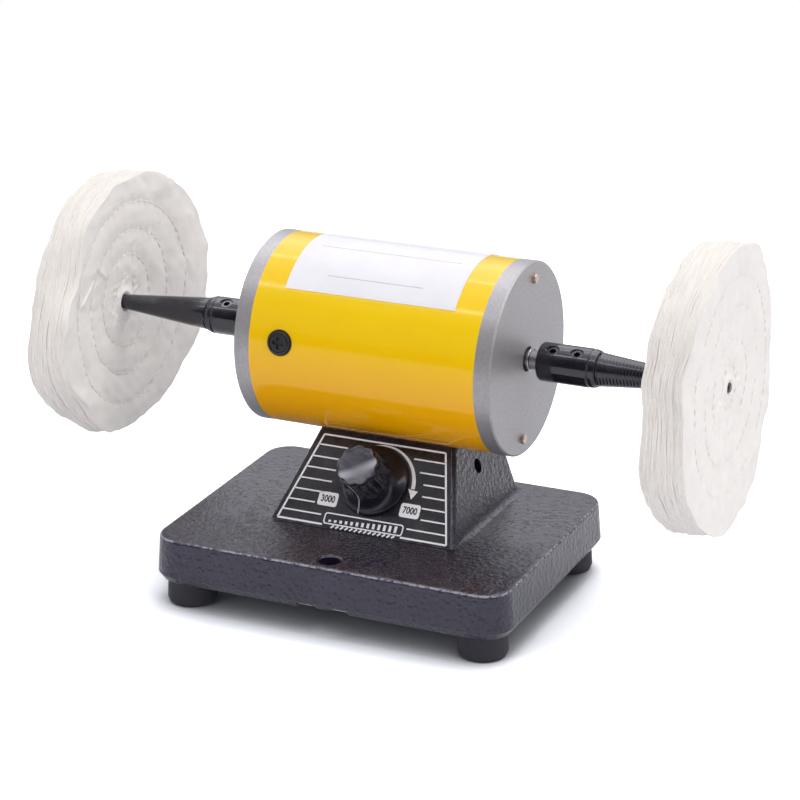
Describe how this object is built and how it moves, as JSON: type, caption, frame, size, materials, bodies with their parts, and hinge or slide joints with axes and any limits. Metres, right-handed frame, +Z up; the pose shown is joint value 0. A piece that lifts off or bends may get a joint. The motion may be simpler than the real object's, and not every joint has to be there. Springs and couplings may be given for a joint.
{
  "type": "bench polishing lathe",
  "caption": "Small two-ended bench polishing lathe with a tube motor on a cast pedestal, a speed knob, tapered spindle noses and cloth buffs.",
  "frame": {"origin": "on the bench, under the middle of the machine's bounding box", "axes": "+X along the spindle to the right seen from the control side, +Y to the rear, +Z up"},
  "size_m": [0.286, 0.1362, 0.1579],
  "materials": {
    "hammered_paint": "hammered grey-black stove enamel, a worn bright line on the top edge",
    "yellow_paint": "glossy yellow enamel",
    "satin_aluminium": "satin turned",
    "oxide_steel": "turned, blackened, slightly oily",
    "bright_steel": "ground",
    "zinc_steel": "zinc plated",
    "passivated_steel": "yellow passivated",
    "foot_rubber": "matt moulded",
    "buff_cotton": "layered, stitched cotton",
    "black_plastic": "fine moulded",
    "knob_plastic": "moulded, satin gloss",
    "printed_plate": "black print with plain white lines",
    "sticker_paper": "bare white, semi-gloss",
    "ferrite": "ground ferrite",
    "copper": "turned copper",
    "winding_enamel": "varnished copper wire",
    "laminations": "stacked sheets",
    "carbon": "matt carbon",
    "board_laminate": "green solder mask",
    "capacitor_sleeve": "shrunk sleeve",
    "epoxy": "moulded epoxy",
    "terminal_plastic": "moulded",
    "lead_red": "insulated wire",
    "fuse_glass": "clear with metal clips"
  },
  "bodies": {
    "root": {"base_casting": "hammered_paint", "bottom_cover": "zinc_steel", "foot_front_left": "foot_rubber", "foot_front_right": "foot_rubber", "foot_rear_left": "foot_rubber", "foot_rear_right": "foot_rubber", "foot_screws": "zinc_steel", "cover_screws": "zinc_steel", "motor_screws": "oxide_steel", "cable_gland": "black_plastic", "gland_nut": "black_plastic", "speed_label": "printed_plate", "pot_body": "satin_aluminium", "pot_washer": "zinc_steel", "pot_nut": "zinc_steel", "circuit_board": "board_laminate", "board_standoffs": "bright_steel", "board_screws": "zinc_steel", "capacitor": "capacitor_sleeve", "heat_sink": "satin_aluminium", "power_transistor": "epoxy", "rectifier": "epoxy", "terminal_block": "terminal_plastic", "fuse": "fuse_glass", "pot_leads": "lead_red", "motor_leads": "lead_red", "motor_housing": "yellow_paint", "rating_sticker": "sticker_paper", "end_plate_left": "satin_aluminium", "end_plate_right": "satin_aluminium", "through_bolts": "passivated_steel", "magnet_front": "ferrite", "magnet_rear": "ferrite", "bearing_left_outer": "bright_steel", "bearing_right_outer": "bright_steel", "wave_washer": "bright_steel", "brush_holder_front": "black_plastic", "brush_holder_rear": "black_plastic", "brush_front": "carbon", "brush_rear": "carbon", "brush_cap_front": "black_plastic", "brush_cap_rear": "black_plastic", "brush_springs": "bright_steel"},
    "rotor": {"motor_shaft": "bright_steel", "armature_core": "laminations", "armature_windings": "winding_enamel", "commutator": "copper", "bearing_left_inner": "bright_steel", "bearing_right_inner": "bright_steel", "spindle_left": "oxide_steel", "spindle_right": "oxide_steel", "spindle_screws": "oxide_steel"},
    "balls_left": {"bearing_left_balls": "bright_steel"},
    "balls_right": {"bearing_right_balls": "bright_steel"},
    "knob": {"control_knob": "knob_plastic", "pot_shaft": "satin_aluminium"},
    "buff_left": {"buff_left": "buff_cotton"},
    "buff_right": {"buff_right": "buff_cotton"}
  },
  "joints": [
    {"name": "rotor_spin", "type": "hinge", "parent": "root", "child": "rotor", "pos_m": [0, 0.01065, 0.10045], "axis": [1, 0, 0], "continuous": true},
    {"name": "balls_left_spin", "type": "hinge", "parent": "root", "child": "balls_left", "pos_m": [0, 0.01065, 0.10045], "axis": [1, 0, 0], "continuous": true},
    {"name": "balls_right_spin", "type": "hinge", "parent": "root", "child": "balls_right", "pos_m": [0, 0.01065, 0.10045], "axis": [1, 0, 0], "continuous": true},
    {"name": "knob_turn", "type": "hinge", "parent": "root", "child": "knob", "pos_m": [0, -0.01598, 0.04782], "axis": [0, 0.776, -0.6307], "range_deg": [0, 300]},
    {"name": "buff_left_slide", "type": "slide", "parent": "rotor", "child": "buff_left", "axis": [-1, 0, 0], "range_m": [0, 0.022]},
    {"name": "buff_right_slide", "type": "slide", "parent": "rotor", "child": "buff_right", "axis": [1, 0, 0], "range_m": [0, 0.022]}
  ],
  "couplings": [
    {"joint": "balls_left_spin", "follows": "rotor_spin", "ratio": 0.3677},
    {"joint": "balls_right_spin", "follows": "rotor_spin", "ratio": 0.3677}
  ]
}
